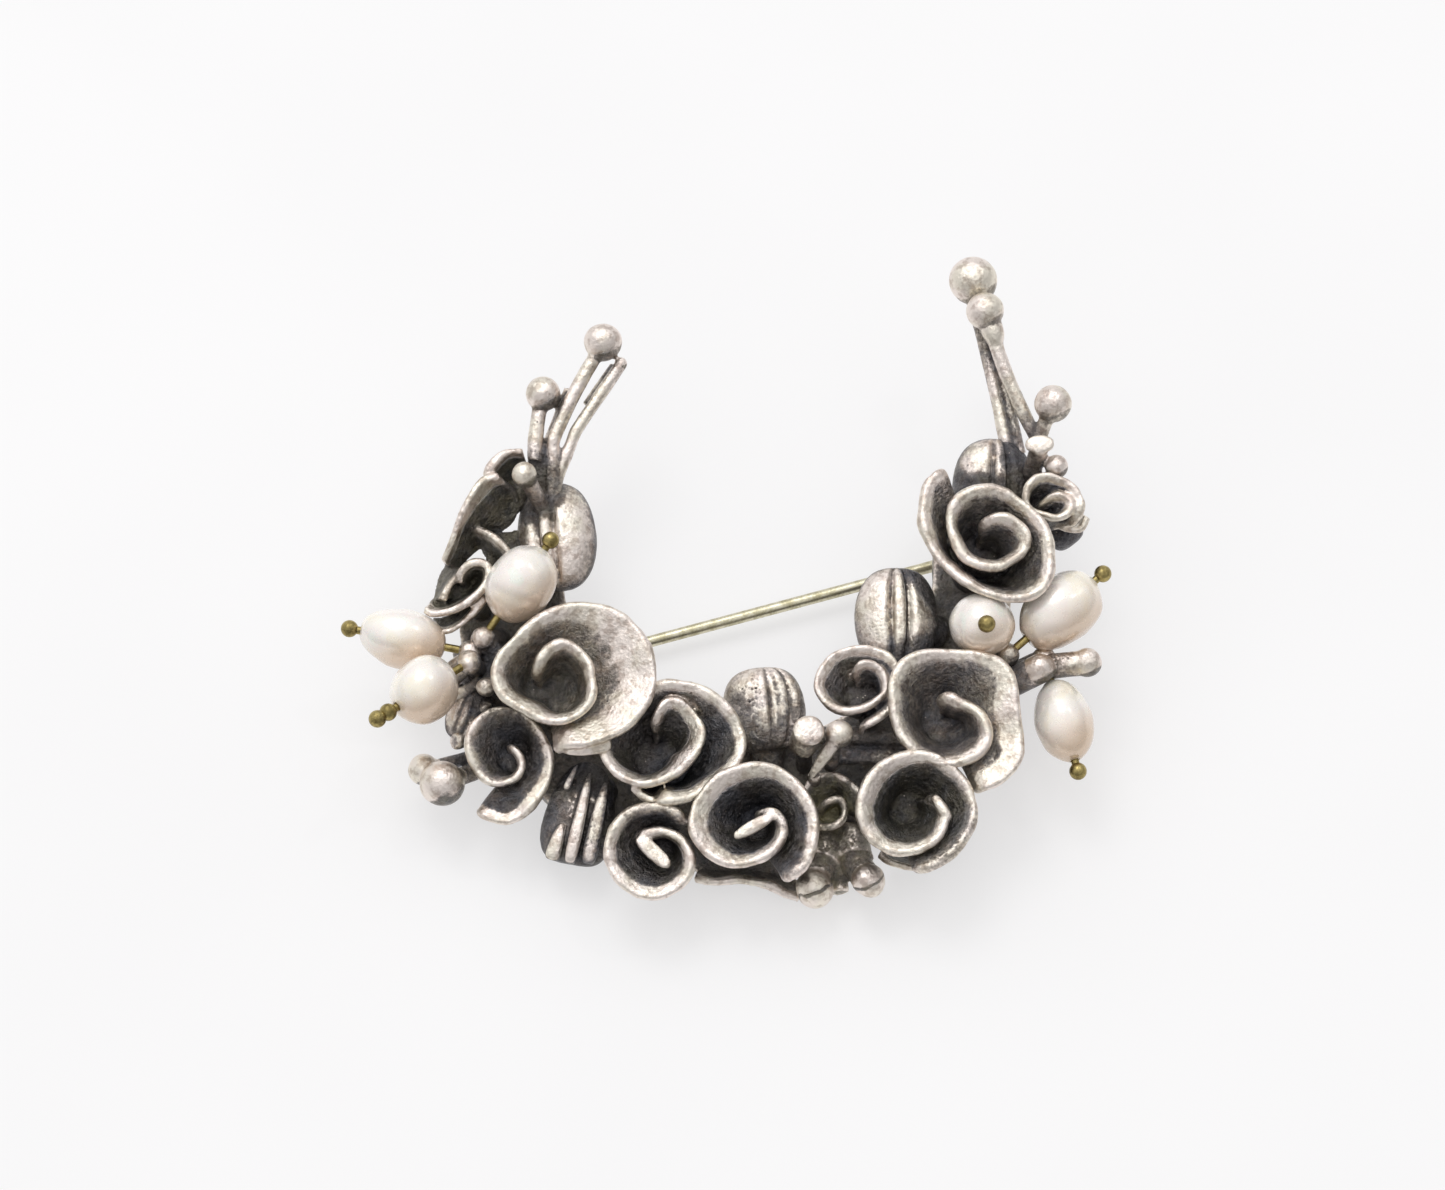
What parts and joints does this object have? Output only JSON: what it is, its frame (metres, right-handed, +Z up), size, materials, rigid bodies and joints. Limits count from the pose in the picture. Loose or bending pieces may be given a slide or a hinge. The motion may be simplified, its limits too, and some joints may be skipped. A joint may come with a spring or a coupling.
{
  "type": "flower brooch",
  "caption": "Silver brooch: a crescent of rolled flowers, ridged pods and ball-ended wires with pearls on brass pins, and a hinged pin stem behind.",
  "frame": {"origin": "centre of the bounding box at the surface that the brooch lies on", "axes": "+X to the wearer's left across the brooch, +Y from its lower edge towards the open ends of the crescent, +Z up from the surface, out of the brooch's front"},
  "size_m": [0.0576, 0.0502, 0.0152],
  "materials": {
    "silver": "oxidised silver, darkened in the hollows and polished on the rims",
    "pearl": "lustrous nacre",
    "brass": "aged brass",
    "pin_metal": "smooth nickel brass"
  },
  "bodies": {
    "brooch": {"silver_cluster": "silver", "pearl_upper_left": "pearl", "pearl_far_left": "pearl", "pearl_front_left": "pearl", "pearl_inner_right": "pearl", "pearl_far_right": "pearl", "pearl_low_right": "pearl", "head_pin_upper_left": "brass", "head_pin_far_left": "brass", "head_pin_front_left": "brass", "head_pin_inner_right": "brass", "head_pin_far_right": "brass", "head_pin_low_right": "brass", "hinge_rivet": "pin_metal"},
    "stem": {"pin_stem": "pin_metal"}
  },
  "joints": [
    {"name": "pin_hinge", "type": "hinge", "parent": "brooch", "child": "stem", "pos_m": [0.01771, 0.00466, 0.00182], "axis": [0.2194, -0.7892, 0.5736], "range_deg": [0, 80]}
  ]
}
